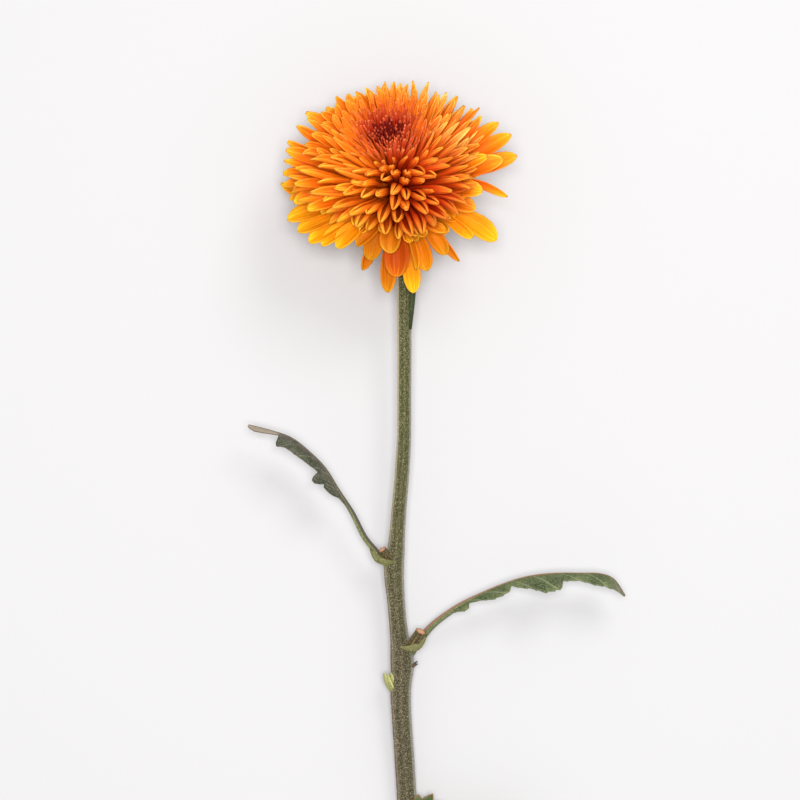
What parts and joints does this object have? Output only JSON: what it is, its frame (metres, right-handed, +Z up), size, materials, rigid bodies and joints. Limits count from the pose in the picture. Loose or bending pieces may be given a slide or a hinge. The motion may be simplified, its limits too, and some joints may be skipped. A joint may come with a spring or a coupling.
{
  "type": "disbud chrysanthemum",
  "caption": "Large orange incurved chrysanthemum bloom on a ribbed cut stem with lobed leaves, lying on its side on a surface.",
  "frame": {"origin": "middle of the plant's outline as seen from above, on the surface it lies on", "axes": "+Y from the cut end of the stem to the bloom, +X to the right as seen from above, +Z up off the surface"},
  "size_m": [0.1517, 0.3172, 0.0834],
  "materials": {
    "petals": "soft satin petal, orange with golden rims and red bases",
    "eye": "matte dark maroon",
    "young_green": "matte yellow-green",
    "stem": "matte, fine-haired, ribbed green-brown",
    "leaves": "matte grey-green",
    "cut_pith": "raw cut, pinkish tan"
  },
  "bodies": {
    "root": {"ray_florets": "petals", "disc_florets": "eye", "calyx": "young_green", "stem": "stem", "leaf_left": "leaves", "leaf_right": "leaves", "leaf_low": "leaves", "shoot_stub_left": "cut_pith", "shoot_stub_right": "cut_pith", "bud_left": "young_green", "bractlet_right": "young_green", "neck_bract": "young_green"}
  },
  "joints": []
}
